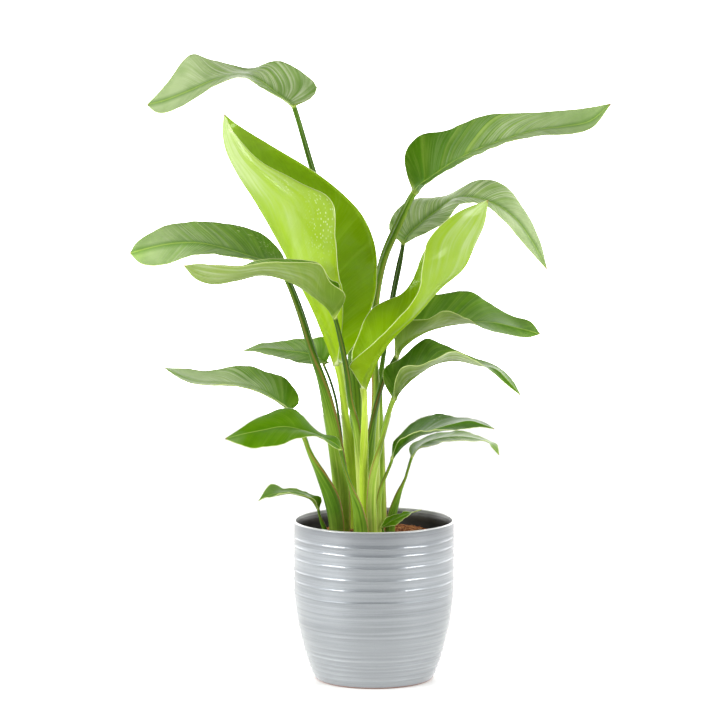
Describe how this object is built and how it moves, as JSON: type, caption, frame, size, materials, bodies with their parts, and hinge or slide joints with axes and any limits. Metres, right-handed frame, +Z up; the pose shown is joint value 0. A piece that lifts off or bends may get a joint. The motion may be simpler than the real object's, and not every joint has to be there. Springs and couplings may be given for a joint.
{
  "type": "potted plant",
  "caption": "Young bird of paradise plant with arching paddle leaves on sheathed stalks, growing in coir in a nursery pot inside a rippled grey glazed cover pot",
  "frame": {"origin": "centre of the cover pot's flat foot, on the surface that the pot stands on", "axes": "+Z up along the pot's axis; the plant's front, as pictured, looks to -Y; +X to the viewer's right"},
  "size_m": [0.5677, 0.253, 0.7428],
  "materials": {
    "glaze": "gloss",
    "dark_plastic": "matte",
    "coir": "matte",
    "leaf": "satin",
    "young_leaf": "satin",
    "stalk": "satin",
    "young_stalk": "satin"
  },
  "bodies": {
    "root": {"cover_pot": "glaze", "nursery_pot": "dark_plastic", "coir": "coir", "top_left_blade": "leaf", "top_left_stalk": "stalk", "young_left_blade": "young_leaf", "young_left_stalk": "young_stalk", "young_right_blade": "young_leaf", "young_right_stalk": "young_stalk", "left_blade": "leaf", "left_stalk": "stalk", "front_left_blade": "leaf", "front_left_stalk": "stalk", "small_rear_blade": "leaf", "small_rear_stalk": "stalk", "lower_left_blade": "leaf", "lower_left_stalk": "stalk", "front_low_blade": "leaf", "front_low_stalk": "stalk", "lowest_left_blade": "leaf", "lowest_left_stalk": "stalk", "top_right_blade": "leaf", "top_right_stalk": "stalk", "rear_right_blade": "leaf", "rear_right_stalk": "stalk", "right_blade": "leaf", "right_stalk": "stalk", "front_right_blade": "leaf", "front_right_stalk": "stalk", "low_right_blade": "leaf", "low_right_stalk": "stalk", "low_rear_right_blade": "leaf", "low_rear_right_stalk": "stalk", "sprout_blade": "leaf", "sprout_stalk": "stalk"}
  },
  "joints": []
}
